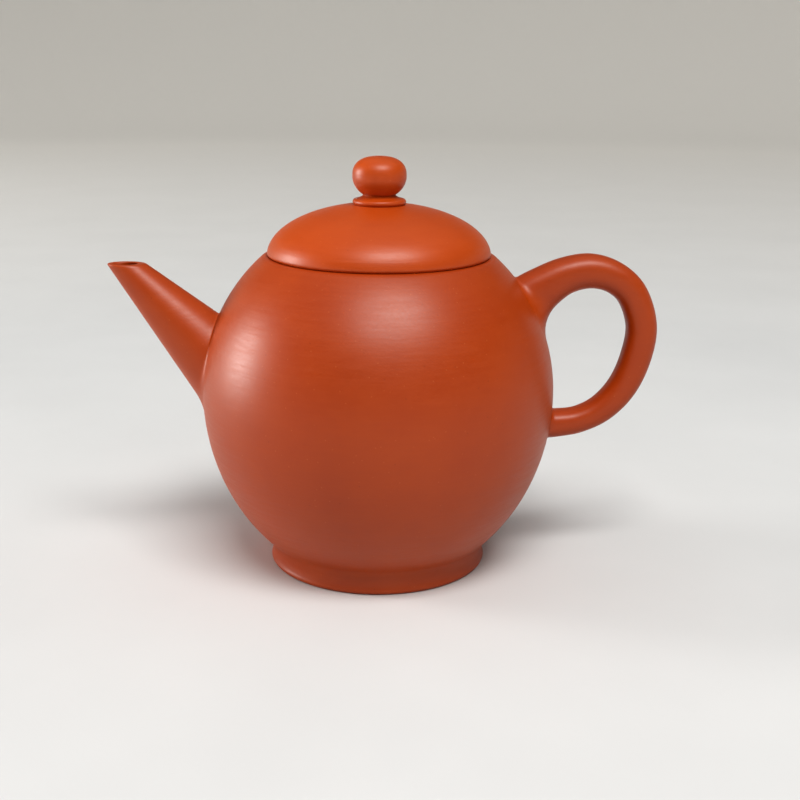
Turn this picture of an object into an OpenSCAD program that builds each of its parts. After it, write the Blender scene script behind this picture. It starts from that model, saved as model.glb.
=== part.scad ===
// Unglazed clay teapot with a round belly, straight spout, ear handle, ring foot and lift-off lid.
// Millimetres, +Z up. The origin is the centre of the foot ring on the table, the spout points to -X
// and the handle to +X. Every clay piece that the maker forms and lutes on is its own solid.

/* [Belly] */
// Outer radius of the belly where it is widest
belly_r = 39; // [38.5:0.1:39.5]
// Height of the widest point
belly_z = 39.3; // [39:0.1:39.6]
// Height of the upper half-ellipse of the outline
crown_h = 39.8; // [39.5:0.1:40.2]
// Height of the lower half-ellipse of the outline
bowl_h = 43.9; // [43.6:0.1:44.2]
// Wall thickness of the belly
belly_wall = 2.8; // [2.6:0.1:3]

/* [Foot and base] */
// Height where the foot's hollow sweep runs out into the belly
sweep_z = 6.2; // [6:0.1:6.4]
// Radius of the hollow sweep above the waist of the foot
sweep_r = 5; // [4.7:0.1:5.3]
// Radius of the slight flare below the waist of the foot
flare_r = 5; // [4.5:0.5:8]
// Inner radius of the foot ring
foot_in_r = 20.8; // [20:0.1:21]
// Rounding of the edges that stand on the table
foot_edge_r = 0.9; // [0.6:0.1:1]
// Height of the joint between the foot ring and the belly
foot_joint_z = 4.4; // [4:0.1:4.8]
// Height of the inside floor
floor_z = 6; // [5.8:0.1:6.2]
// Thickness of the base slab
slab_t = 2.8; // [2.6:0.1:3]

/* [Mouth] */
// Radius of the round mouth
mouth_r = 20.2; // [20.2:0.1:20.5]
// Height of the flat land that the lid rests on
mouth_z = 69.7; // [69.5:0.1:70]
// Height of the ring that forms the mouth
mouth_ring_h = 2.5; // [2:0.1:3]
// Height where the belly starts to round over into the land
mouth_round_z = 69.2; // [69.1:0.05:69.3]

/* [Lid] */
// Outer radius of the lid
lid_r = 24.4; // [24:0.1:24.6]
// Height of the half-ellipse that is the dome's outline
dome_h = 11.3; // [11.2:0.05:11.6]
// Wall thickness of the dome
dome_wall = 2.4; // [2.2:0.1:2.5]
// Thickness of the flat rim plate under the dome
plate_t = 2.2; // [2:0.1:2.4]
// Rounding of the lid's lower edge
lid_edge_r = 0.7; // [0.4:0.1:0.9]
// Outer radius of the flange that drops into the mouth
flange_r = 19.9; // [19.6:0.1:19.9]
// Wall thickness of the flange
flange_wall = 2.2; // [2:0.1:2.6]
// Depth of the flange below the land
flange_h = 7.5; // [6:0.1:9]

/* [Knob] */
// Largest radius of the ball knob
knob_r = 5.85; // [5.7:0.05:6]
// Height of the knob's widest point
knob_z = 86.8; // [86.7:0.05:86.9]
// Height of the knob above its widest point
knob_top_h = 4.2; // [4:0.05:4.4]
// Height of the half-ellipse below the knob's widest point
knob_low_h = 4.95; // [4.85:0.05:5.05]
// Squareness of the knob's crown, where 2 is an ellipse
knob_square = 2.5; // [2:0.1:3]
// Radius of the neck under the knob
neck_r = 3.5; // [3.45:0.05:3.6]
// Height of the joint at the neck
neck_z = 82.8; // [82.75:0.05:82.85]
// Radius of the collar under the neck
collar_r = 5.8; // [5.6:0.1:6]
// Height of the collar's upright edge
collar_edge_h = 1.3; // [0.9:0.1:1.5]
// Fullness of the hollow between neck and collar, where 2 is an ellipse
collar_square = 1.4; // [1.2:0.1:2]
// Radius of the vent hole through knob, collar and dome
vent_r = 0.9; // [0.7:0.1:1.2]

/* [Spout] */
// Distance from the pot's axis to the middle of the spout's mouth
spout_reach = 55.9; // [55.4:0.1:56.4]
// Height of the spout's level mouth
spout_z = 67.5; // [67:0.1:68.2]
// Slope of the spout above the horizontal, in degrees
spout_slope = 46.5; // [45:0.5:48]
// Outer radius of the spout at its mouth
spout_tip_r = 2.95; // [2.85:0.05:3.2]
// Outer radius of the spout's cone where it would reach inside the belly
spout_root_r = 10.1; // [9.7:0.1:10.5]
// Inner radius of the spout at its mouth
channel_tip_r = 1.9; // [1.8:0.05:2]
// Inner radius of the spout's cone where it would reach inside the belly
channel_root_r = 7.9; // [7.5:0.1:8]

/* [Strainer] */
// Outer radius of the ball strainer
strainer_r = 10.4; // [10:0.1:10.8]
// Wall thickness of the ball strainer
strainer_wall = 1.8; // [1.6:0.1:1.9]
// Radius of each strainer hole
strainer_hole_r = 0.9; // [0.7:0.1:1]

/* [Handle] */
// Fullness of the handle's section, where 2 is an ellipse
handle_square = 2.5; // [2:0.1:3]

/* [Hidden] */
$fn = 96;

// Steps along the belly, inner wall and dome outlines, and along a short round
belly_steps = 56;
dome_steps = 28;
knob_steps = 20;
round_steps = 6;

// Inner outline of the belly
inner_r = belly_r - belly_wall;
inner_crown_h = crown_h - belly_wall;
inner_bowl_h = bowl_h - belly_wall;

// Where the foot's sweep touches the belly, the belly's outward normal there, and the sweep's centre
sweep_t = asin((sweep_z - belly_z) / bowl_h);
sweep_touch_r = belly_r * cos(sweep_t);
sweep_normal = unit([bowl_h * cos(sweep_t), belly_r * sin(sweep_t)]);
sweep_centre = [sweep_touch_r, sweep_z] + sweep_r * sweep_normal;
waist_r = sweep_centre[0] - sweep_r;
waist_z = sweep_centre[1];
flare_centre_r = waist_r + flare_r;
foot_low_r = flare_centre_r - sqrt(pow(flare_r, 2) - pow(foot_edge_r - waist_z, 2));

// Radius of the slab and of the wall's opening round it
slab_r = inner_r * sqrt(1 - pow((floor_z - belly_z) / inner_bowl_h, 2));
slab_z = floor_z - slab_t;

// The mouth ring's joint with the belly, and the rounding that runs from the belly into the land
ring_joint_z = mouth_z - mouth_ring_h;
round_t = asin((mouth_round_z - belly_z) / crown_h);
round_normal = unit([crown_h * cos(round_t), belly_r * sin(round_t)]);
round_r = (mouth_z - mouth_round_z) / (1 - round_normal[1]);

// The lid
plate_top_z = mouth_z + plate_t;
flange_in_r = flange_r - flange_wall;
dome_in_r = lid_r - dome_wall;
dome_in_h = dome_h - dome_wall;
seat_z = mouth_z + dome_h * sqrt(1 - pow(collar_r / lid_r, 2));

// The spout's cone runs this far into the belly from its mouth, and this far past it before the cut
spout_len = 37.7;
spout_over = 6;

// The strainer's centre and the rings of holes, as [angle off the axis, holes]
strainer_x = -35.2;
strainer_z = 44.7;
hole_rings = [[0, 1], [20, 6], [40, 12], [60, 18]];

// Handle stations as [x, z, thickness, width], from inside the shoulder, round the ear, to inside the belly
handle_stations = [
    [26, 55.4, 12, 9], [31, 59.2, 10.6, 9], [36, 62.6, 9.4, 8.8], [40.9, 65.4, 8, 8.5],
    [46.4, 66.5, 7.5, 8.3], [51.7, 65.1, 7, 8.1], [55.9, 61.3, 6.8, 7.9], [58.3, 54.4, 6.7, 7.8],
    [57.5, 47.2, 6.7, 7.6], [54.8, 40.4, 6.4, 7.4], [50.5, 35.4, 6, 7.2], [45.5, 32.7, 5.8, 7],
    [40.6, 31.8, 6.1, 7.2], [35.5, 31.6, 6.6, 7.6], [30, 31.6, 7, 8]];
handle_steps = 4;
handle_sides = 20;

function unit(v) = v / norm(v);

// Points on an arc round a centre
function arc(centre, r, from, to, steps = round_steps) =
    [for (i = [0 : steps]) let (a = from + (to - from) * i / steps) centre + r * [cos(a), sin(a)]];

// A point on the two half-ellipses of a belly outline, and the parameter at a height
function belly_point(r, up, down, t) = [r * cos(t), belly_z + (t > 0 ? up : down) * sin(t)];
function belly_param(up, down, z) = asin((z - belly_z) / (z > belly_z ? up : down));
function belly_outline(r, up, down, z0, z1) =
    let (t0 = belly_param(up, down, z0), t1 = belly_param(up, down, z1))
    [for (i = [0 : belly_steps]) belly_point(r, up, down, t0 + (t1 - t0) * i / belly_steps)];

// The outer outline from the foot joint up the sweep to its touch, and the whole belly above it
sweep_outline = arc(sweep_centre, sweep_r,
    180 - asin((foot_joint_z - waist_z) / sweep_r), 180 - asin((sweep_z - waist_z) / sweep_r));
outer_outline = belly_outline(belly_r, crown_h, bowl_h, sweep_z, ring_joint_z);
inner_outline = belly_outline(inner_r, inner_crown_h, inner_bowl_h, floor_z, ring_joint_z);
outer_all = concat(sweep_outline, outer_outline);

function reverse(list) = [for (i = [len(list) - 1 : -1 : 0]) list[i]];

// The belly as a filled solid, to cut the root of what is luted on it
module belly_solid() {
    rotate_extrude() polygon(concat([[0, foot_joint_z]], outer_all, [[0, ring_joint_z]]));
}

// The inside of the belly as a filled solid
module cavity_solid() {
    rotate_extrude() polygon(concat([[0, floor_z]], inner_outline, [[0, ring_joint_z]]));
}

// Places children with +Z along the spout, out of the pot, and the origin at the middle of its mouth
module along_spout() {
    translate([-spout_reach, 0, spout_z]) rotate([0, spout_slope - 90, 0]) children();
}

// A cone along the spout, from inside the belly to past the mouth
module spout_cone(root, tip) {
    over_r = tip - (root - tip) * spout_over / spout_len;
    along_spout() translate([0, 0, -spout_len]) cylinder(h = spout_len + spout_over, r1 = root, r2 = over_r);
}

// The paddled wall of the pot, with the hole that leads into the spout
module body_wall() {
    color("#b4532c") difference() {
        rotate_extrude() polygon(concat(
            [[slab_r, foot_joint_z]], outer_all, reverse(inner_outline)));
        spout_cone(channel_root_r, channel_tip_r);
    }
}

// The disc that closes the bottom
module base_slab() {
    color("#a64b28") translate([0, 0, slab_z]) cylinder(h = slab_t, r = slab_r);
}

// The ring foot, luted under the wall and round the slab
module foot_ring() {
    flare_to = 180 + asin((waist_z - foot_edge_r) / flare_r);
    color("#a64b28") rotate_extrude() polygon(concat(
        arc([foot_in_r + foot_edge_r, foot_edge_r], foot_edge_r, 180, 270),
        arc([foot_low_r - foot_edge_r, foot_edge_r], foot_edge_r, 270, 360),
        arc([flare_centre_r, waist_z], flare_r, flare_to, 180),
        arc(sweep_centre, sweep_r, 180, 180 - asin((foot_joint_z - waist_z) / sweep_r)),
        [[slab_r, foot_joint_z], [slab_r, slab_z], [foot_in_r, slab_z]]));
}

// The ring that forms the mouth and the flat land for the lid
module mouth_ring() {
    joint_t = belly_param(crown_h, bowl_h, ring_joint_z);
    centre = belly_point(belly_r, crown_h, bowl_h, round_t) - round_r * round_normal;
    color("#b4532c") rotate_extrude() polygon(concat(
        [[mouth_r, ring_joint_z]],
        [for (i = [0 : round_steps])
            belly_point(belly_r, crown_h, bowl_h, joint_t + (round_t - joint_t) * i / round_steps)],
        arc(centre, round_r, asin(round_normal[1]), 90),
        [[mouth_r, mouth_z]]));
}

// The straight, tapered spout with its level mouth
module spout() {
    color("#b4532c") difference() {
        spout_cone(spout_root_r, spout_tip_r);
        spout_cone(channel_root_r, channel_tip_r);
        belly_solid();
        translate([-2 * spout_reach, -spout_reach, spout_z])
            cube([2 * spout_reach, 2 * spout_reach, spout_len]);
    }
}

// The ball strainer over the hole in the wall, luted to the inside
module strainer_dome() {
    color("#a64b28") difference() {
        intersection() {
            translate([strainer_x, 0, strainer_z]) sphere(r = strainer_r);
            cavity_solid();
        }
        translate([strainer_x, 0, strainer_z]) sphere(r = strainer_r - strainer_wall);
        for (ring = hole_rings, i = [0 : ring[1] - 1])
            translate([strainer_x, 0, strainer_z])
                rotate([360 * i / ring[1], 0, 0])
                rotate([0, 90 - ring[0], 0])
                translate([0, 0, strainer_r - 2 * strainer_wall])
                cylinder(h = 3 * strainer_wall, r = strainer_hole_r);
    }
}

// A smooth curve through the stations, at 0 to 1 between b and c
function through(a, b, c, d, t) =
    (2 * b + (c - a) * t + (2 * a - 5 * b + 4 * c - d) * t * t + (3 * b - a - 3 * c + d) * t * t * t) / 2;
handle_path = concat(
    [for (i = [1 : len(handle_stations) - 3], j = [0 : handle_steps - 1])
        through(handle_stations[i - 1], handle_stations[i], handle_stations[i + 1], handle_stations[i + 2],
            j / handle_steps)],
    [handle_stations[len(handle_stations) - 2]]);

function full(c) = sign(c) * pow(abs(c), 2 / handle_square);

// One ring of the handle's section, square to the path
function handle_ring(k) =
    let (p = handle_path[k],
         before = handle_path[max(k - 1, 0)],
         after = handle_path[min(k + 1, len(handle_path) - 1)],
         along = unit([after[0] - before[0], after[1] - before[1]]))
    [for (i = [0 : handle_sides - 1])
        let (a = 360 * i / handle_sides, out = p[2] / 2 * full(cos(a)))
        [p[0] - along[1] * out, p[3] / 2 * full(sin(a)), p[1] + along[0] * out]];

// The ear-shaped handle, cut to the belly at both roots
module handle() {
    rings = len(handle_path);
    last = (rings - 1) * handle_sides;
    points = [for (k = [0 : rings - 1]) each handle_ring(k)];
    sides = [for (k = [0 : rings - 2], i = [0 : handle_sides - 1])
        let (n = (i + 1) % handle_sides, p = k * handle_sides, q = p + handle_sides)
        each [[p + i, p + n, q + n], [p + i, q + n, q + i]]];
    start = [[for (i = [handle_sides - 1 : -1 : 0]) i]];
    end = [[for (i = [0 : handle_sides - 1]) last + i]];
    color("#b4532c") difference() {
        polyhedron(points, concat(sides, start, end));
        belly_solid();
    }
}

// The lid's outline at a parameter of its half-ellipse, and the parameter at a height
function dome_point(r, h, t) = [r * cos(t), mouth_z + h * sin(t)];
function dome_param(h, z) = asin((z - mouth_z) / h);

// The domed top of the lid, with a flat seat for the knob's collar and the vent through it
module lid_dome() {
    out0 = dome_param(dome_h, plate_top_z);
    out1 = dome_param(dome_h, seat_z);
    in0 = dome_param(dome_in_h, plate_top_z);
    in1 = acos(vent_r / dome_in_r);
    color("#bb5427") rotate_extrude() polygon(concat(
        [for (i = [0 : dome_steps]) dome_point(lid_r, dome_h, out0 + (out1 - out0) * i / dome_steps)],
        [[vent_r, seat_z]],
        [for (i = [0 : dome_steps]) dome_point(dome_in_r, dome_in_h, in1 + (in0 - in1) * i / dome_steps)]));
}

// The flat ring under the dome that rests on the mouth
module lid_rim_plate() {
    top_t = dome_param(dome_h, plate_top_z);
    edge_t = dome_param(dome_h, mouth_z + lid_edge_r);
    edge = dome_point(lid_r, dome_h, edge_t);
    color("#bb5427") rotate_extrude() polygon(concat(
        [[flange_in_r, mouth_z]],
        arc([edge[0] - lid_edge_r, mouth_z + lid_edge_r], lid_edge_r, 270, 360),
        [for (i = [1 : round_steps]) dome_point(lid_r, dome_h, edge_t + (top_t - edge_t) * i / round_steps)],
        [[flange_in_r, plate_top_z]]));
}

// The upright flange that drops into the mouth
module lid_flange() {
    color("#a64b28") translate([0, 0, mouth_z - flange_h]) difference() {
        cylinder(h = flange_h, r = flange_r);
        translate([0, 0, -1]) cylinder(h = flange_h + 2, r = flange_in_r);
    }
}

// The collar between dome and knob, hollowed up to the neck
module knob_collar() {
    rise = neck_z - seat_z - collar_edge_h;
    edge = collar_edge_h / 2;
    width = collar_r - edge - neck_r;
    bend = 2 / collar_square;
    color("#bb5427") rotate_extrude() polygon(concat(
        [[vent_r, seat_z]],
        arc([collar_r - edge, seat_z + edge], edge, 270, 450),
        [for (i = [1 : round_steps])
            let (a = 90 * i / round_steps)
            [neck_r + width * (1 - pow(sin(a), bend)), neck_z - rise * pow(cos(a), bend)]],
        [[vent_r, neck_z]]));
}

// The ball knob on its neck, with the vent through it
module knob() {
    low_t = -asin((knob_z - neck_z) / knob_low_h);
    top_c = vent_r / knob_r;
    top_z = knob_z + knob_top_h * pow(1 - pow(top_c, knob_square), 1 / knob_square);
    high_t = atan2(pow((top_z - knob_z) / knob_top_h, knob_square / 2), pow(top_c, knob_square / 2));
    color("#ad4a25") rotate_extrude() polygon(concat(
        [[vent_r, neck_z]],
        [for (i = [0 : knob_steps]) let (t = low_t * (1 - i / knob_steps))
            [max(neck_r, knob_r * cos(t)), knob_z + knob_low_h * sin(t)]],
        [for (i = [1 : knob_steps]) let (t = high_t * i / knob_steps)
            [knob_r * pow(cos(t), 2 / knob_square), knob_z + knob_top_h * pow(sin(t), 2 / knob_square)]]));
}

body_wall();
base_slab();
foot_ring();
mouth_ring();
spout();
strainer_dome();
handle();
lid_dome();
lid_rim_plate();
lid_flange();
knob_collar();
knob();
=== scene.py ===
# %% [markdown]
# # An unglazed clay teapot
# A small pot for strong tea is built by hand from stiff red clay: a paddled wall, a base, a ring foot,
# a spout, a handle and a lid, each formed on its own and luted together with slip. It is never glazed.
# The maker burnishes the surface instead, which leaves a soft satin.
#
# The design already exists as a imported CAD model. It says how big each piece is, where it sits and how
# the lid lifts. This script gives the pieces their finished surfaces, and takes many places from it.

# %% Load the frame
import math

import bmesh
import bpy
from mathutils import Matrix, Vector


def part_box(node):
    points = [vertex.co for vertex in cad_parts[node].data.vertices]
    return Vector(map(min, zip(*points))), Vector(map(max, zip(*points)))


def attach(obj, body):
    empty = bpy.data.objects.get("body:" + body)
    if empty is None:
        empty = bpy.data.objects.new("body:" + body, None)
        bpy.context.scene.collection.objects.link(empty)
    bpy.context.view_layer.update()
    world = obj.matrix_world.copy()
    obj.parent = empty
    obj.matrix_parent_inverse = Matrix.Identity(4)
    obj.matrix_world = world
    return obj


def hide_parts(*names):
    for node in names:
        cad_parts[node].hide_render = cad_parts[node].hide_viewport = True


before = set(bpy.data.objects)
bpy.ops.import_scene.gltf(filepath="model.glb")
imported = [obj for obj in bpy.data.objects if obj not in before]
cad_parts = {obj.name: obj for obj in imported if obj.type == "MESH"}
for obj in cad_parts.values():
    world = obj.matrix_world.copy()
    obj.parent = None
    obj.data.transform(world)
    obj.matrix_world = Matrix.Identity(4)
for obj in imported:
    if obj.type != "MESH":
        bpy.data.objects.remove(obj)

MM = 0.001
scene = bpy.context.scene
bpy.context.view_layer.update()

# %% [markdown]
# ## Camera
# The camera stands close, so the perspective is strong: the far rim of the lid looks clearly smaller
# than the near one. It looks down a little, and the pot's spout and handle lie square across the view.
# It is held by hand, half a degree out of level. The Standard view keeps the red of the clay clean,
# where the film-like views wash strong reds out, and a little contrast deepens its shadows.

# %% Place the camera
CAMERA_DISTANCE = 277.6 * MM
CAMERA_HEIGHT = 114.75 * MM
CAMERA_DOWN = math.radians(15.675)
CAMERA_RIGHT = math.radians(1.004)
CAMERA_ROLL = math.radians(0.55)
LENS_MM = 57.6

camera_data = bpy.data.cameras.new("camera")
camera_data.lens = LENS_MM
camera_data.sensor_width = 36
camera_data.clip_start = 0.01
camera = bpy.data.objects.new("camera", camera_data)
camera.location = (0, -CAMERA_DISTANCE, CAMERA_HEIGHT)
pan = Matrix.Rotation(-CAMERA_RIGHT, 4, "Z")
tilt = Matrix.Rotation(math.pi / 2 - CAMERA_DOWN, 4, "X")
roll = Matrix.Rotation(CAMERA_ROLL, 4, "Z")
camera.rotation_euler = (pan @ tilt @ roll).to_euler()
scene.collection.objects.link(camera)
scene.camera = camera
scene.view_settings.view_transform = "Standard"
scene.view_settings.look = "Medium High Contrast"
print("camera stands", round(CAMERA_DISTANCE / MM), "mm from the pot's axis")

# %% [markdown]
# ## One helper for every node tree
# Shader trees and Geometry Nodes trees are both graphs of nodes. `Graph` adds a node from its type, its
# settings and the values of its sockets. `Socket` wraps an output, so that maths on it reads like maths:
# `1 - mask * 0.3` adds the two Math nodes that work it out.

# %% Wrap sockets and graphs
class Socket:
    """An output socket. Arithmetic on it adds Math nodes to its graph."""

    def __init__(self, graph, socket):
        self.graph = graph
        self.socket = socket

    def math(self, operation, *values):
        return self.graph.add("ShaderNodeMath", {"operation": operation}, dict(enumerate(values)))

    def __add__(self, other):
        return self.math("ADD", self, other)

    def __radd__(self, other):
        return self.math("ADD", other, self)

    def __sub__(self, other):
        return self.math("SUBTRACT", self, other)

    def __rsub__(self, other):
        return self.math("SUBTRACT", other, self)

    def __mul__(self, other):
        return self.math("MULTIPLY", self, other)

    def __rmul__(self, other):
        return self.math("MULTIPLY", other, self)

    def __truediv__(self, other):
        return self.math("DIVIDE", self, other)

    def __mod__(self, other):
        return self.math("FLOORED_MODULO", self, other)

    def floor(self):
        return self.math("FLOOR", self)

    def between(self, low, high):
        """0 below low, 1 above high, and a straight ramp from one to the other."""
        ramp = {"Value": self, "From Min": low, "From Max": high}
        return self.graph.add("ShaderNodeMapRange", {"clamp": True}, ramp)


class Graph:
    """A node tree, of a material or of a Geometry Nodes modifier."""

    def __init__(self, tree):
        self.tree = tree
        tree.nodes.clear()

    def add(self, kind, settings=None, sockets=None, out=0):
        """Adds a node, sets it up, links or sets its sockets, and returns one of its outputs."""
        node = self.tree.nodes.new(kind)
        for name, value in (settings or {}).items():
            setattr(node, name, value)
        for key, value in (sockets or {}).items():
            self.plug(self.find(node.inputs, key), value)
        return Socket(self, self.find(node.outputs, out)) if len(node.outputs) else node

    def find(self, sockets, key):
        """The socket with that identifier, name or place. Identifiers come first: names can repeat."""
        if isinstance(key, int):
            return sockets[key]
        named = [s for s in sockets if s.identifier == key] + [s for s in sockets if s.name == key]
        return named[0]

    def plug(self, target, value):
        if isinstance(value, Socket):
            self.tree.links.new(value.socket, target)
        else:
            target.default_value = value

    def other(self, output, key):
        """Another output of the node that this one comes from."""
        return Socket(self, self.find(output.socket.node.outputs, key))


# %% [markdown]
# ## Reading a turned part back from the frame
# A round part is an outline turned about the pot's axis. Folding the CAD mesh flat round that axis, so
# that each point keeps only its radius and its height, lays every point back on that outline, and the
# doubles merge. What is left is the outline itself, with no sizes typed twice.
#
# Two things are then done to it. Sharp edges that the maker would wipe with damp leather get a small
# round. The smooth stretches get more points, on a curve through the ones that are there.

# %% Read, wipe and refine an outline
SMOOTH_TURN = math.radians(24)
SHARP_TURN = 1.5 * SMOOTH_TURN
CORNER_TURN = 2 * SMOOTH_TURN
CORNER_STEPS = 5


def folded_outline(node):
    """The closed outline of a turned CAD part, as (radius, height) points, anticlockwise."""
    mesh = bmesh.new()
    mesh.from_mesh(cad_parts[node].data)
    bmesh.ops.delete(mesh, geom=[v for v in mesh.verts if v.co.x < 0], context="VERTS")
    for v in mesh.verts:
        v.co = (math.hypot(v.co.x, v.co.y), 0, v.co.z)
    bmesh.ops.remove_doubles(mesh, verts=mesh.verts, dist=0.01 * MM)
    path = [min(mesh.verts, key=lambda v: (v.co.z, v.co.x))]
    while True:
        ahead = {e.other_vert(path[-1]) for e in path[-1].link_edges} - set(path)
        if not ahead:
            break
        path.append(min(ahead, key=lambda v: (v.co - path[-1].co).length))
    outline = [Vector((v.co.x, v.co.z)) for v in path]
    mesh.free()
    area = sum(a.cross(b) for a, b in zip(outline, outline[1:] + outline[:1]))
    return outline if area > 0 else outline[::-1]


def turn_at(points, i):
    """How far a closed outline turns at point i."""
    before = points[i] - points[i - 1]
    after = points[(i + 1) % len(points)] - points[i]
    return before.angle(after, 0)


def wiped(points, radius, flush=()):
    """The outline with its sharp corners rounded, apart from those at the heights in flush."""
    out = []
    for i, corner in enumerate(points):
        held = any(abs(corner.y - height) < 0.02 * MM for height in flush)
        if held or turn_at(points, i) < CORNER_TURN:
            out.append(corner)
            continue
        to_last = points[i - 1] - corner
        to_next = points[(i + 1) % len(points)] - corner
        reach = min(radius, 0.45 * to_last.length, 0.45 * to_next.length)
        a = corner + to_last.normalized() * reach
        b = corner + to_next.normalized() * reach
        out += [bent(a, corner, b, k / CORNER_STEPS) for k in range(CORNER_STEPS + 1)]
    return out


def bent(a, corner, b, t):
    """A point on the round curve that leaves a and reaches b along the two sides of a corner."""
    return a * (1 - t) ** 2 + corner * (2 * t * (1 - t)) + b * t ** 2


def through(a, b, c, d, t):
    """A smooth curve through b and c, at t between them, with a and d as the next points out."""
    bend = (2 * a - 5 * b + 4 * c - d) * t ** 2 + (3 * b - a - 3 * c + d) * t ** 3
    return (2 * b + (c - a) * t + bend) * 0.5


def refined(points, step):
    """The outline with points no further apart than step along its smooth stretches."""
    out = []
    count = len(points)
    corner = [turn_at(points, i) > SMOOTH_TURN for i in range(count)]
    for i in range(count):
        j = (i + 1) % count
        b, c = points[i], points[j]
        a = 2 * b - c if corner[i] else points[i - 1]
        d = 2 * c - b if corner[j] else points[(j + 1) % count]
        straight = corner[i] and corner[j]
        pieces = 1 if straight else max(1, math.ceil((c - b).length / step))
        out += [through(a, b, c, d, k / pieces) for k in range(pieces)]
    return out


wall_outline = refined(folded_outline("body_wall"), 0.8 * MM)
widest = max(wall_outline, key=lambda p: p.x)
print("the wall's outline has", len(wall_outline), "points; it is widest,",
      round(widest.x / MM, 2), "mm, at height", round(widest.y / MM, 2), "mm")

# %% [markdown]
# ## Turning an outline into a solid
# This is the potter's wheel as a rule. A grid has one row of points for each step of the turn and one
# column for each point of the outline. Geometry Nodes looks up each column's point on the outline, turns
# it by its row's share of a full circle, and merges the first row with the last. The seam closes, and
# since the outline is a closed loop, so does the solid.

# %% Build the wheel
def tree_with(name, inputs):
    """A Geometry Nodes tree with named inputs, and the Graph, input node and output node to fill in."""
    tree = bpy.data.node_groups.new(name, "GeometryNodeTree")
    tree.interface.new_socket("Geometry", in_out="INPUT", socket_type="NodeSocketGeometry")
    for label, kind in inputs.items():
        tree.interface.new_socket(label, in_out="INPUT", socket_type="NodeSocket" + kind)
    tree.interface.new_socket("Geometry", in_out="OUTPUT", socket_type="NodeSocketGeometry")
    graph = Graph(tree)
    given = graph.add("NodeGroupInput")
    return tree, graph, {label: graph.other(given, label) for label in ["Geometry", *inputs]}


def finish_tree(graph, geometry, finish):
    """Ends a tree: instances made real, every face given its finish."""
    real = graph.add("GeometryNodeRealizeInstances", sockets={"Geometry": geometry})
    dressed = graph.add("GeometryNodeSetMaterial", sockets={"Geometry": real, "Material": finish})
    graph.add("NodeGroupOutput", sockets={"Geometry": dressed})


def wheel_tree():
    """Turns a closed loop of points about the Z axis into a solid."""
    tree, graph, given = tree_with("potter's wheel", {"Segments": "Int", "Finish": "Material"})
    size = graph.add("GeometryNodeAttributeDomainSize", sockets={"Geometry": given["Geometry"]})
    columns = graph.other(size, "Point Count")
    grid = graph.add("GeometryNodeMeshGrid", sockets={
        "Vertices X": given["Segments"] + 1, "Vertices Y": columns + 1})
    index = graph.add("GeometryNodeInputIndex")
    row = (index / (columns + 1)).floor()
    column = index % (columns + 1) % columns
    place = graph.add("GeometryNodeInputPosition")
    on_outline = graph.add("GeometryNodeSampleIndex", {"data_type": "FLOAT_VECTOR"}, {
        "Geometry": given["Geometry"], "Value": place, "Index": column})
    turned = graph.add("ShaderNodeVectorRotate", {"rotation_type": "Z_AXIS"}, {
        "Vector": on_outline, "Angle": row * math.tau / given["Segments"]})
    moved = graph.add("GeometryNodeSetPosition", sockets={"Geometry": grid, "Position": turned})
    closed = graph.add("GeometryNodeMergeByDistance", sockets={"Geometry": moved, "Distance": 1e-6})
    finish_tree(graph, closed, given["Finish"])
    return tree


def made_real(obj):
    """Turns an object with modifiers into a plain, smooth mesh with no modifiers."""
    graph = bpy.context.evaluated_depsgraph_get()
    mesh = bpy.data.meshes.new_from_object(obj.evaluated_get(graph))
    obj.modifiers.clear()
    obj.data = mesh
    mesh.name = obj.name
    mesh.shade_smooth()
    mesh.set_sharp_from_angle(angle=SHARP_TURN)
    return obj


def grown(name, vertices, edges, faces, tree, inputs):
    """An object from that mesh, passed through a Geometry Nodes tree with those inputs."""
    mesh = bpy.data.meshes.new(name)
    mesh.from_pydata(vertices, edges, faces)
    obj = bpy.data.objects.new(name, mesh)
    scene.collection.objects.link(obj)
    modifier = obj.modifiers.new(tree.name, "NODES")
    modifier.node_group = tree
    sockets = {s.name: s.identifier for s in tree.interface.items_tree if s.in_out == "INPUT"}
    for label, value in inputs.items():
        modifier[sockets[label]] = value
    return made_real(obj)


wheel = wheel_tree()
print("the wheel has", len(wheel.nodes), "nodes")


def turned_piece(name, outline, finish, segments=240):
    """A round piece, turned from its outline."""
    points = [(p.x, 0, p.y) for p in outline]
    loop = [(i, (i + 1) % len(points)) for i in range(len(points))]
    piece = grown(name, points, loop, [], wheel, {"Segments": segments, "Finish": finish})
    print(f"{name}: {len(outline)} outline points, {len(piece.data.polygons)} faces")
    return piece


# %% [markdown]
# ## The clay
# Red clay fires to a brick orange that is never quite even. Four scales make it believable: broad clouds
# from the kiln, finger-wide mottling, grains of sand a fifth of a millimetre across, and the faint
# level strokes of the burnishing tool. The strokes and the grain drive roughness and bump as well as
# colour, because burnishing presses grains flat and leaves the low spots matt.

# %% Mix the clay
def noise(graph, place, size, detail=2):
    """Noise whose blobs are about size across, from 0 to 1 with its middle near 0.5."""
    return graph.add("ShaderNodeTexNoise", sockets={"Vector": place, "Scale": 1 / size, "Detail": detail})


def specks(graph, place, spacing, inner, outer):
    """Round grains about spacing apart, 1 in each grain's middle and 0 between them."""
    cells = graph.add("ShaderNodeTexVoronoi", sockets={"Vector": place, "Scale": 1 / spacing})
    return 1 - cells.between(inner, outer)


def mixed(graph, factor, a, b):
    """A colour between a and b."""
    return graph.add("ShaderNodeMix", {"data_type": "RGBA"}, {
        "Factor_Float": factor, "A_Color": a, "B_Color": b}, out="Result_Color")


PALE_GRAIN = (0.70, 0.24, 0.08, 1)
DARK_GRAIN = (0.10, 0.012, 0.004, 1)


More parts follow.
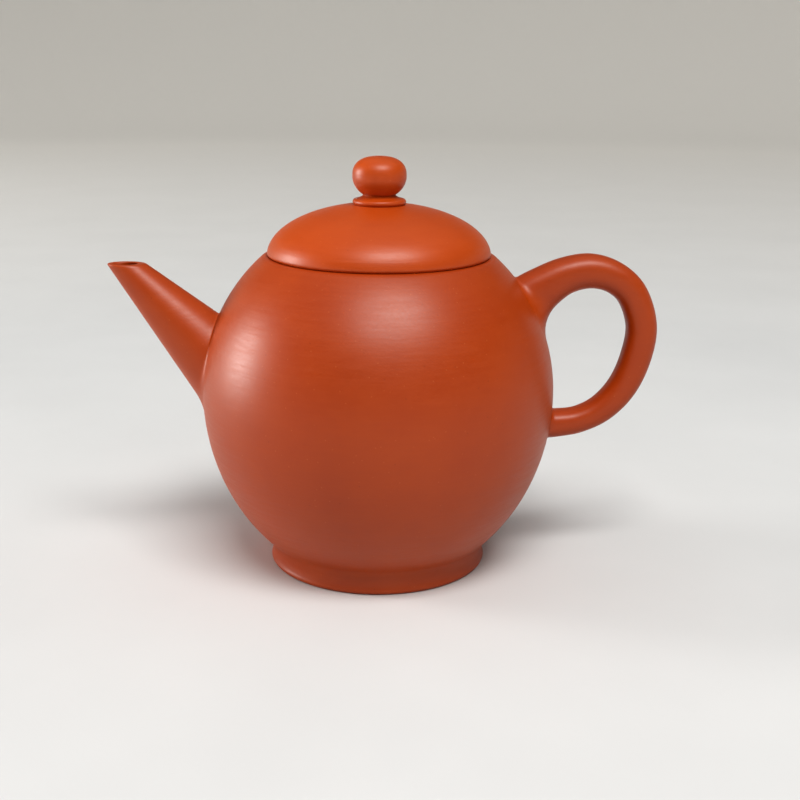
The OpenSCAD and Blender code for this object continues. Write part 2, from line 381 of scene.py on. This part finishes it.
def clay(name, deep, bright, polish, grain):
    """An unglazed clay, between the colours deep and bright. polish smooths it and grain roughens it."""
    material = bpy.data.materials.new(name)
    material.use_nodes = True
    graph = Graph(material.node_tree)
    place = graph.other(graph.add("ShaderNodeTexCoord"), "Object")
    level = graph.add("ShaderNodeMapping", sockets={"Vector": place, "Scale": (1, 1, 14)})

    clouds = noise(graph, place, 45 * MM)
    mottle = noise(graph, place, 6 * MM, 4)
    strokes = noise(graph, level, 9 * MM, 3)
    sand = noise(graph, place, 0.35 * MM, 2)
    pits = noise(graph, place, 0.9 * MM, 3)
    pale = specks(graph, place, 1.7 * MM, 0.05, 0.11) * grain
    dark = specks(graph, place, 2.9 * MM, 0.03, 0.08) * grain

    tone = (clouds * 0.5 + mottle * 0.25 + strokes * 0.15 + sand * 0.1).between(0.3, 0.7)
    colour = mixed(graph, tone, (*deep, 1), (*bright, 1))
    colour = mixed(graph, pale * 0.35, colour, PALE_GRAIN)
    colour = mixed(graph, dark * 0.45, colour, DARK_GRAIN)

    rough = 0.62 - polish * 0.2 + (strokes - 0.5) * 0.16 + (sand - 0.5) * 0.12 + pale * 0.08
    height = (sand - 0.5) * 0.012 * grain + (strokes - 0.5) * 0.02 + (pits - 0.5) * 0.018 * grain
    bump = graph.add("ShaderNodeBump", sockets={
        "Strength": 1.0, "Distance": MM, "Height": height - dark * 0.01})
    shader = graph.add("ShaderNodeBsdfPrincipled", sockets={
        "Base Color": colour, "Roughness": rough, "Normal": bump, "IOR": 1.50})
    graph.add("ShaderNodeOutputMaterial", sockets={"Surface": shader})
    return material


burnished = clay("burnished clay", (0.335, 0.040, 0.001), (0.405, 0.057, 0.001), polish=1.0, grain=0.5)
# Painted light: the lid's clay is the same burnished clay painted lighter and oranger, for the extra light
# falling on the lid's upturned top.
lid_clay_painted_lighter = clay("lid clay painted lighter", (0.415, 0.054, 0.001), (0.490, 0.073, 0.002), polish=1.0, grain=0.5)
raw = clay("raw clay", (0.26, 0.033, 0.007), (0.34, 0.050, 0.011), polish=0.1, grain=1.0)
print("clays:", burnished.name, "outside,", lid_clay_painted_lighter.name, "on the lid,", raw.name, "where it stays rough")

# %% [markdown]
# ## The round pieces of the pot
# Wall, foot ring and mouth ring meet flush, because the maker scrapes them into one another while the
# clay is soft. So the heights where they meet stay crisp, and only the free edges are wiped round.

# %% Turn the wall, the foot and the mouth
foot_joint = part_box("body_wall")[0].z
ring_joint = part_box("mouth_ring")[0].z
mouth_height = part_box("mouth_ring")[1].z

foot_outline = refined(wiped(folded_outline("foot_ring"), 0.4 * MM, [foot_joint]), 0.5 * MM)
mouth_outline = folded_outline("mouth_ring")
mouth_bore = min(p.x for p in mouth_outline)
mouth_outline = refined(wiped(mouth_outline, 0.35 * MM, [ring_joint]), 0.5 * MM)

wall = turned_piece("wall", wall_outline, burnished)
foot = turned_piece("foot", foot_outline, burnished)
mouth = turned_piece("mouth", mouth_outline, burnished)
print("the mouth's bore is", round(2 * mouth_bore / MM, 1), "mm across")

# %% [markdown]
# ## Where the wall is
# The spout and the handle have to meet the wall without a gap, so they need to know where it is. At any
# height the outside of the wall is the widest place that its outline, or its neighbours', reaches.

# %% Measure the wall's surface
OUTSIDE = [p for outline in (foot_outline, wall_outline, mouth_outline)
           for p in zip(outline, outline[1:] + outline[:1])]


def wall_radius(height):
    """How far the outside of the pot is from its axis at a height."""
    reached = [a.x + (b.x - a.x) * (height - a.y) / (b.y - a.y) for a, b in OUTSIDE
               if min(a.y, b.y) <= height <= max(a.y, b.y) and a.y != b.y]
    return max(reached, default=0)


def depth_at(point):
    """How far inside the wall's surface a point is, measured level. It is negative outside."""
    return wall_radius(point.z) - math.hypot(point.x, point.y)


def wall_normal(point):
    """The direction straight out of the wall at the height and side of a point."""
    step = 0.3 * MM
    slope = (wall_radius(point.z + step) - wall_radius(point.z - step)) / (2 * step)
    return Vector((point.x, point.y, -slope * math.hypot(point.x, point.y))).normalized()


def on_wall(point, sunk=0):
    """The point moved level onto the wall, then straight in by sunk."""
    scale = wall_radius(point.z) / math.hypot(point.x, point.y)
    there = Vector((point.x * scale, point.y * scale, point.z))
    return there - wall_normal(there) * sunk


print("the wall leans out", round(math.degrees(math.asin(wall_normal(Vector((0.03, 0, 0.06))).z))),
      "degrees at shoulder height")

# %% [markdown]
# ## Luting a stem to the wall
# Spout and handle are stems that end on a curved wall. The maker pushes a thin coil of soft clay into
# the corner and smooths it with a fingertip, so the stem flares a little and runs out into the wall.
#
# Each line along the stem's skin is handled alone. It is followed to where it meets the wall, stopped
# short of it, and bent round onto the wall away from the stem. The last points go under the surface,
# so no gap can show.

# %% Bend a stem's skin onto the wall
FILLET_STEPS = 9
FEATHER_DEPTH = 0.02 * MM
ANCHOR_DEPTH = 0.5 * MM


def where_it_lands(line):
    """Where a line of points that runs into the wall crosses its surface, as a place along the line."""
    for k in range(len(line) - 1):
        outside, inside = depth_at(line[k]), depth_at(line[k + 1])
        if outside <= 0 < inside:
            return k + outside / (outside - inside)
    raise ValueError("the line never reaches the wall")


def along(line, place):
    """The point at a place along a line of points."""
    k = min(int(place), len(line) - 2)
    return line[k].lerp(line[k + 1], place - k)


def back_from(line, place, distance):
    """The place that lies that distance before another along a line."""
    k = math.ceil(place) - 1
    here = along(line, place)
    while k > 0 and (line[k] - here).length < distance:
        k -= 1
    span = (line[k + 1] - line[k]).length
    past = (line[k] - here).length - distance
    return k + max(0, past) / span


def luted(line, centre, width, start, steps):
    """The line from the place start to the wall, bent onto it over that width. It has a fixed length."""
    place = where_it_lands(line)
    landing = along(line, place)
    leave = max(start, back_from(line, place, width))
    out = [along(line, start + (leave - start) * k / steps) for k in range(steps)]
    outward = wall_normal(landing)
    away = landing - centre
    away = (away - outward * away.dot(outward)).normalized()
    edge = on_wall(landing + away * width, FEATHER_DEPTH)
    curve = [bent(along(line, leave), landing, edge, k / FILLET_STEPS) for k in range(FILLET_STEPS + 1)]
    return out + curve + [on_wall(edge, ANCHOR_DEPTH)]


def skin(rings, ends="capped"):
    """Points and faces of a skin over rings of equal size.

    Its ends are both "capped" by a fan, "joined" to each other, or "dished": capped at the first only.
    """
    sides = len(rings[0])
    points = [p for ring in rings for p in ring]
    faces = []
    for k in range(len(rings) if ends == "joined" else len(rings) - 1):
        here, there = k * sides, (k + 1) % len(rings) * sides
        for i in range(sides):
            j = (i + 1) % sides
            faces.append((here + i, here + j, there + j, there + i))
    caps = {"capped": [0, len(rings) - 1], "dished": [0], "joined": []}[ends]
    for k in caps:
        middle = len(points)
        points.append(sum(rings[k], Vector()) / sides)
        for i in range(sides):
            fan = (k * sides + i, k * sides + (i + 1) % sides, middle)
            faces.append(fan[::-1] if k == 0 else fan)
    return points, faces


def solid_piece(name, points, faces, finish):
    """A plain smooth piece from points and faces, with its faces turned outwards."""
    mesh = bpy.data.meshes.new(name)
    mesh.from_pydata(points, [], faces)
    work = bmesh.new()
    work.from_mesh(mesh)
    bmesh.ops.remove_doubles(work, verts=work.verts, dist=0.0005 * MM)
    bmesh.ops.recalc_face_normals(work, faces=work.faces)
    work.to_mesh(mesh)
    work.free()
    mesh.materials.append(finish)
    mesh.shade_smooth()
    mesh.set_sharp_from_angle(angle=SHARP_TURN)
    obj = bpy.data.objects.new(name, mesh)
    scene.collection.objects.link(obj)
    print(f"{name}: {len(mesh.polygons)} faces")
    return obj


# %% [markdown]
# ## The spout
# A straight cone rolled round a tapered stick, cut level at the height of the lid's seat so that the pot
# can be filled to the brim without spilling. It is a tube: its skin goes down the outside to the wall,
# turns under inside the wall, comes back up the channel and closes over the lip.

# %% Roll the spout
SPOUT_SLOPE = math.radians(46.5)
SPOUT_LENGTH = 37.7 * MM
SPOUT_REACH = 55.9 * MM
SPOUT_TIP, SPOUT_ROOT = 2.95 * MM, 10.1 * MM
CHANNEL_TIP, CHANNEL_ROOT = 1.9 * MM, 7.9 * MM
SPOUT_SIDES = 96
SPOUT_STEPS = 30
CONE_STEPS = 60
LIP_ROUND = 0.45 * MM
LIP_STEPS = 4

mouth_centre = Vector((-SPOUT_REACH, 0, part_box("spout")[1].z))
spout_axis = Vector((math.cos(SPOUT_SLOPE), 0, -math.sin(SPOUT_SLOPE)))
spout_up = Vector((math.sin(SPOUT_SLOPE), 0, math.cos(SPOUT_SLOPE)))
spout_side = Vector((0, 1, 0))
centre_line = [mouth_centre + spout_axis * SPOUT_LENGTH * k / CONE_STEPS for k in range(CONE_STEPS + 1)]
spout_root = along(centre_line, where_it_lands(centre_line))


def cone_line(tip, root, angle):
    """A straight line along a cone round the spout's axis, from its level mouth into the pot."""
    out = spout_up * math.cos(angle) + spout_side * math.sin(angle)
    start = mouth_centre + out * tip
    slant = spout_axis * SPOUT_LENGTH + out * (root - tip)
    level = start + slant * ((start.z - mouth_centre.z) / -slant.z)
    end = start + slant
    return [level.lerp(end, k / CONE_STEPS) for k in range(CONE_STEPS + 1)]


def spout_section(angle):
    """One closed slice of the spout's wall: outside, root, channel, lip."""
    outer = cone_line(SPOUT_TIP, SPOUT_ROOT, angle)
    inner = cone_line(CHANNEL_TIP, CHANNEL_ROOT, angle)
    below = (1 - math.cos(angle)) / 2
    width = (0.5 + 3.2 * below ** 3) * MM
    outside = luted(outer, spout_root, width, 0, SPOUT_STEPS)
    root = along(inner, where_it_lands(inner))
    channel = [inner[0].lerp(root, 1 - k / SPOUT_STEPS) for k in range(SPOUT_STEPS + 1)]
    rim = inner[0] - outer[0]
    down_out = (outside[1] - outer[0]).normalized()
    down_in = (root - inner[0]).normalized()
    ease = min(LIP_ROUND, rim.length * 0.4)
    across = rim.normalized()
    inside_edge = [bent(inner[0] + down_in * ease, inner[0], inner[0] - across * ease, k / LIP_STEPS)
                   for k in range(LIP_STEPS + 1)]
    outside_edge = [bent(outer[0] + across * ease, outer[0], outer[0] + down_out * ease, k / LIP_STEPS)
                    for k in range(LIP_STEPS + 1)]
    return outside[1:] + channel[:-1] + inside_edge + outside_edge


sections = [spout_section(math.tau * i / SPOUT_SIDES) for i in range(SPOUT_SIDES)]
spout = solid_piece("spout_tube", *skin(sections, ends="joined"), burnished)

# %% [markdown]
# ## The way through the wall
# Before the spout goes on, the maker opens the wall behind it. A Boolean modifier cuts the same cone out
# of the wall. The cut's edges are hidden by the luted corner outside and by the strainer inside.

# %% Open the wall behind the spout
# The cutter starts that many steps down the channel, which is still outside the wall.
DRILL_FROM = 20
DRILL_SIDES = 64


def pierced(piece, cutter):
    """The piece with the cutter's shape taken out of it."""
    modifier = piece.modifiers.new("opening", "BOOLEAN")
    modifier.operation = "DIFFERENCE"
    modifier.solver = "EXACT"
    modifier.object = cutter
    made_real(piece)
    bpy.data.objects.remove(cutter)
    return piece


drill_lines = [cone_line(CHANNEL_TIP, CHANNEL_ROOT, math.tau * i / DRILL_SIDES)[DRILL_FROM:]
               for i in range(DRILL_SIDES)]
wall = pierced(wall, solid_piece("channel", *skin(list(zip(*drill_lines))), burnished))
print("the wall has", len(wall.data.polygons), "faces after the cut")

# %% [markdown]
# ## The ball strainer
# Behind the opening sits a small dome full of holes, which keeps leaves out of the spout. The holes lie
# on a rule: one in the middle, then rings of 6, 12 and 18. Those are the centred hexagonal numbers, so a
# hole's ring follows from its number alone, and Geometry Nodes can place all of them with no list.

# %% Perforate the strainer
STRAINER_RADIUS = 10.4 * MM
STRAINER_WALL = 1.8 * MM
STRAINER_HEIGHT = 44.7 * MM
HOLE_RADIUS = 0.9 * MM
HOLE_RINGS = 3
HOLE_SIDES = 20
RING_STEP = math.radians(20)
RIM_TILT = math.radians(87)
DOME_SIDES, DOME_STEPS = 72, 20

strainer_centre = Vector((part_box("strainer_dome")[1].x - STRAINER_RADIUS, 0, STRAINER_HEIGHT))


def strainer_tree():
    """Drills rings of holes through a dome, all aimed at its centre."""
    tree, graph, given = tree_with("strainer holes", {
        "Rings": "Int", "Ring step": "Float", "Hole radius": "Float", "Centre": "Vector",
        "Radius": "Float", "Finish": "Material"})
    rings = given["Rings"]
    points = graph.add("GeometryNodePoints", sockets={"Count": 3 * rings * (rings + 1) + 1})
    number = graph.add("GeometryNodeInputIndex")
    under_root = number * 12 + 9
    ring_share = (under_root.math("SQRT", under_root) - 3) / 6
    ring = ring_share.math("CEIL", ring_share)
    first = 3 * ring * (ring - 1) + 1
    in_ring = ring.math("MAXIMUM", ring * 6, 1)
    spin = (number - first) * math.tau / in_ring
    tilt = ring * given["Ring step"]
    across = tilt.math("SINE", tilt)
    direction = graph.add("ShaderNodeCombineXYZ", sockets={
        "X": tilt.math("COSINE", tilt),
        "Y": across * spin.math("COSINE", spin),
        "Z": across * spin.math("SINE", spin)})
    place = graph.add("ShaderNodeVectorMath", {"operation": "MULTIPLY_ADD"}, {
        0: direction, 1: given["Radius"], 2: given["Centre"]})
    placed = graph.add("GeometryNodeSetPosition", sockets={"Geometry": points, "Position": place})
    drill = graph.add("GeometryNodeMeshCylinder", sockets={
        "Vertices": HOLE_SIDES, "Radius": given["Hole radius"], "Depth": given["Radius"] * 0.8})
    aim = graph.add("FunctionNodeAlignRotationToVector", {"axis": "Z"}, {"Vector": direction})
    drills = graph.add("GeometryNodeInstanceOnPoints", sockets={
        "Points": placed, "Instance": drill, "Rotation": aim})
    solid = graph.add("GeometryNodeRealizeInstances", sockets={"Geometry": drills})
    drilled = graph.add("GeometryNodeMeshBoolean", {"operation": "DIFFERENCE", "solver": "EXACT"}, {
        "Mesh 1": given["Geometry"], "Mesh 2": solid})
    finish_tree(graph, drilled, given["Finish"])
    return tree


def dome_ring(radius, step):
    """A ring of points on a ball round the strainer's centre. Step 0 faces straight into the pot."""
    tilt = RIM_TILT * step / DOME_STEPS
    across = math.sin(tilt)
    spins = [math.tau * i / DOME_SIDES for i in range(DOME_SIDES)]
    return [strainer_centre + Vector((math.cos(tilt), across * math.cos(a), across * math.sin(a))) * radius
            for a in spins]


outer_rings = [dome_ring(STRAINER_RADIUS, step) for step in range(1, DOME_STEPS + 1)]
inner_rings = [dome_ring(STRAINER_RADIUS - STRAINER_WALL, step) for step in range(DOME_STEPS, 0, -1)]
blank = solid_piece("blank", *skin(outer_rings + inner_rings), raw)
blank_points = [v.co.copy() for v in blank.data.vertices]
blank_faces = [tuple(p.vertices) for p in blank.data.polygons]
bpy.data.objects.remove(blank)
strainer = grown("strainer", blank_points, [], blank_faces, strainer_tree(), {
    "Rings": HOLE_RINGS, "Ring step": RING_STEP, "Hole radius": HOLE_RADIUS,
    "Centre": strainer_centre, "Radius": STRAINER_RADIUS, "Finish": raw})
print("the strainer has", 3 * HOLE_RINGS * (HOLE_RINGS + 1) + 1, "holes and",
      len(strainer.data.polygons), "faces")

# %% [markdown]
# ## The handle
# A coil of clay, thicker where it leaves the shoulder, is bent into an ear and luted on at both ends. Its
# section is a soft square, flatter on the sides than a circle, so that it doesn't roll in the fingers.
# The route is a short list of given stations, and a smooth curve runs through them.

# %% Bend the handle
# Each station is its X, Z, thickness in the plane of the ear, and width across it, in millimetres.
STATIONS = [
    (26, 55.4, 12, 9), (31, 59.2, 10.6, 9), (36, 62.6, 9.4, 8.8), (40.9, 65.4, 8, 8.5),
    (46.4, 66.5, 7.5, 8.3), (51.7, 65.1, 7, 8.1), (55.9, 61.3, 6.8, 7.9), (58.3, 54.4, 6.7, 7.8),
    (57.5, 47.2, 6.7, 7.6), (54.8, 40.4, 6.4, 7.4), (50.5, 35.4, 6, 7.2), (45.5, 32.7, 5.8, 7),
    (40.6, 31.8, 6.1, 7.2), (35.5, 31.6, 6.6, 7.6), (30, 31.6, 7, 8)]
SQUARENESS = 2.5
HANDLE_SIDES = 64
STATION_STEPS = 12
MIDDLE_FROM, MIDDLE_TO = 2.6, 10.4
ROOT_STEPS = 16

stations = [Vector(s) * MM for s in STATIONS]
route = [through(*stations[k - 1:k + 3], j / STATION_STEPS)
         for k in range(1, len(stations) - 2) for j in range(STATION_STEPS)] + [stations[-2]]


def full(value):
    """A cosine or sine pushed outwards, which turns a circle into a soft square."""
    return math.copysign(abs(value) ** (2 / SQUARENESS), value)


def handle_ring(k):
    """The handle's section at step k of its route, square to the route."""
    before, after = route[max(k - 1, 0)], route[min(k + 1, len(route) - 1)]
    x, z, thick, wide = route[k]
    ahead = Vector((after[0] - before[0], 0, after[1] - before[1])).normalized()
    side = Vector((-ahead.z, 0, ahead.x))
    ring = []
    for i in range(HANDLE_SIDES):
        angle = math.tau * i / HANDLE_SIDES
        out = side * (thick / 2 * full(math.cos(angle)))
        ring.append(Vector((x, 0, z)) + out + Vector((0, wide / 2 * full(math.sin(angle)), 0)))
    return ring


handle_rings = [handle_ring(k) for k in range(len(route))]
handle_lines = [[ring[i] for ring in handle_rings] for i in range(HANDLE_SIDES)]
handle_middle = [Vector((p[0], 0, p[1])) for p in route]
middle_from = round(MIDDLE_FROM * STATION_STEPS)
middle_to = round(MIDDLE_TO * STATION_STEPS)


def handle_root(lines, middle, start, width):
    """The rings from the place start along the lines to the wall. width gives each line's fillet."""
    centre = along(middle, where_it_lands(middle))
    ends = [luted(line, centre, width(i), start, ROOT_STEPS) for i, line in enumerate(lines)]
    return [list(ring) for ring in zip(*ends)]


def inward(i):
    """1 on the side of the handle that faces the ear's opening, 0 on its outside."""
    return (1 - math.cos(math.tau * i / HANDLE_SIDES)) / 2


upper = handle_root(
    [line[::-1] for line in handle_lines], handle_middle[::-1], len(route) - 1 - middle_from,
    lambda i: (0.6 + 6.0 * inward(i) ** 1.3) * MM)
lower = handle_root(
    handle_lines, handle_middle, middle_to, lambda i: (1.0 + 0.3 * inward(i)) * MM)
rings = upper[::-1] + handle_rings[middle_from + 1:middle_to] + lower
handle = solid_piece("ear_handle", *skin(rings), burnished)

# %% [markdown]
# ## The lid
# The lid is a pressed dome on a flat ring, with a flange that drops into the mouth and a ball knob on a
# small collar. A hole runs down through all three, and lets air in as tea pours out. Covering it with a
# fingertip stops the pour.

# %% Turn the lid
plate_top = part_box("lid_dome")[0].z
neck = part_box("knob")[0].z

plate_outline = wiped(folded_outline("lid_rim_plate"), 0.2 * MM, [plate_top, mouth_height])
plate_outline = refined(plate_outline, 0.3 * MM)
dome_outline = refined(folded_outline("lid_dome"), 0.6 * MM)
flange_outline = refined(wiped(folded_outline("lid_flange"), 0.5 * MM, [mouth_height]), 0.5 * MM)
collar_outline = refined(folded_outline("knob_collar"), 0.15 * MM)
knob_outline = refined(wiped(folded_outline("knob"), 0.3 * MM, [neck]), 0.3 * MM)

# The dome, rim plate, collar and knob take the clay painted lighter, which paints light onto the lid.
lid_pieces = {
    "lid_dome": turned_piece("dome", dome_outline, lid_clay_painted_lighter),
    "lid_rim_plate": turned_piece("rim_plate", plate_outline, lid_clay_painted_lighter),
    "lid_flange": turned_piece("flange", flange_outline, raw),
    "knob_collar": turned_piece("collar", collar_outline, lid_clay_painted_lighter, segments=128),
    "knob": turned_piece("ball_knob", knob_outline, lid_clay_painted_lighter, segments=128),
}

# %% [markdown]
# ## Join the pieces to the moving bodies
# The pot is one body and the lid another. Each finished piece rides on its body and replaces the CAD node
# that it refines. The base slab is a plain disc, so its CAD mesh stays and only gets its clay.

# %% Ride and replace
pot_pieces = {"body_wall": wall, "foot_ring": foot, "mouth_ring": mouth, "spout": spout,
              "strainer_dome": strainer, "handle": handle}
for body, pieces in (("pot", pot_pieces), ("lid", lid_pieces)):
    for node, piece in pieces.items():
        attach(piece, body)
        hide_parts(node)
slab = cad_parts["base_slab"]
slab.data.materials.clear()
slab.data.materials.append(raw)

# %% [markdown]
# ## The stage
# A pale round table with an upturned edge has no corners for the camera to catch, from any side.

# %% Set the table
# Lengths are in metres and slopes in degrees.
TABLE_FLAT, TABLE_RISE = 1.35, 1.0
TABLE_SIDES = 96
SLOPE_STEP, STEEPEST_SLOPE = 6, 78


def pale_cloth():
    """An off-white surface with painted light: darker near the pot and brighter towards its far, upturned
    edge.
    """
    material = bpy.data.materials.new("pale cloth")
    material.use_nodes = True
    graph = Graph(material.node_tree)
    place = graph.other(graph.add("ShaderNodeTexCoord"), "Object")
    tone = noise(graph, place, 60 * MM, 3)
    near = mixed(graph, tone, (0.62, 0.63, 0.63, 1), (0.70, 0.71, 0.71, 1))
    away = graph.add("ShaderNodeVectorMath", {"operation": "LENGTH"}, {0: place}, out="Value")
    # Painted light: the cloth grows brighter with distance from the pot, standing in for light on the
    # upturned backdrop.
    colour = mixed(graph, away.between(0.25, 1.2), near, (0.94, 0.92, 0.87, 1))
    shader = graph.add("ShaderNodeBsdfPrincipled", sockets={"Base Color": colour, "Roughness": 0.9})
    graph.add("ShaderNodeOutputMaterial", sockets={"Surface": shader})
    return material


def table_ring(slope):
    """A ring of points where the table's upturned edge has that slope in degrees."""
    radius = TABLE_FLAT + TABLE_RISE * math.sin(math.radians(slope))
    height = TABLE_RISE * (1 - math.cos(math.radians(slope)))
    turns = [math.tau * i / TABLE_SIDES for i in range(TABLE_SIDES)]
    return [Vector((radius * math.cos(a), radius * math.sin(a), height)) for a in turns]


table_rings = [table_ring(slope) for slope in range(0, STEEPEST_SLOPE + 1, SLOPE_STEP)]
table = solid_piece("table", *skin(table_rings, ends="dished"), pale_cloth())

# %% [markdown]
# ## Light
# A broad window stands to the left, a little behind the pot, and a large soft panel hangs overhead towards
# the camera. Each draws its own wide, blurred highlight on the clay. The sky is dim at the horizon and
# brighter straight up, so it lights the table and the tops of things, and the sides keep their deep red.

# %% Hang the lights
def panel(name, place, target, width, height, watts, colour):
    """A rectangular soft light at a place, facing a target."""
    data = bpy.data.lights.new(name, "AREA")
    data.shape = "RECTANGLE"
    data.size, data.size_y = width, height
    data.energy = watts
    data.color = colour
    light = bpy.data.objects.new(name, data)
    light.location = place
    aim = Vector(target) - Vector(place)
    light.rotation_euler = aim.to_track_quat("-Z", "Y").to_euler()
    scene.collection.objects.link(light)
    return light


def gradient_sky(horizon, zenith):
    """A sky that grows from one brightness at the horizon to another straight up."""
    world = bpy.data.worlds.new("sky")
    world.use_nodes = True
    sky = Graph(world.node_tree)
    direction = sky.other(sky.add("ShaderNodeTexCoord"), "Generated")
    up = sky.other(sky.add("ShaderNodeSeparateXYZ", sockets={"Vector": direction}), "Z")
    glow = horizon + up.between(0.35, 0.95) * (zenith - horizon)
    air = sky.add("ShaderNodeBackground", sockets={"Color": (1.0, 0.99, 0.97, 1), "Strength": glow})
    sky.add("ShaderNodeOutputWorld", sockets={"Surface": air})
    return world


pot_middle = (0, 0, widest.y)
DAYLIGHT = (1.0, 0.98, 0.96)
window = panel("window", (-1.20, 0.22, 0.22), pot_middle, 0.32, 0.58, 10.4, DAYLIGHT)
overhead = panel("overhead", (0.18, -0.62, 1.10), pot_middle, 0.80, 0.44, 13.0, DAYLIGHT)
scene.world = gradient_sky(horizon=0.0, zenith=0.46)
print("lights:", window.name, window.data.energy, "W,", overhead.name, overhead.data.energy, "W")
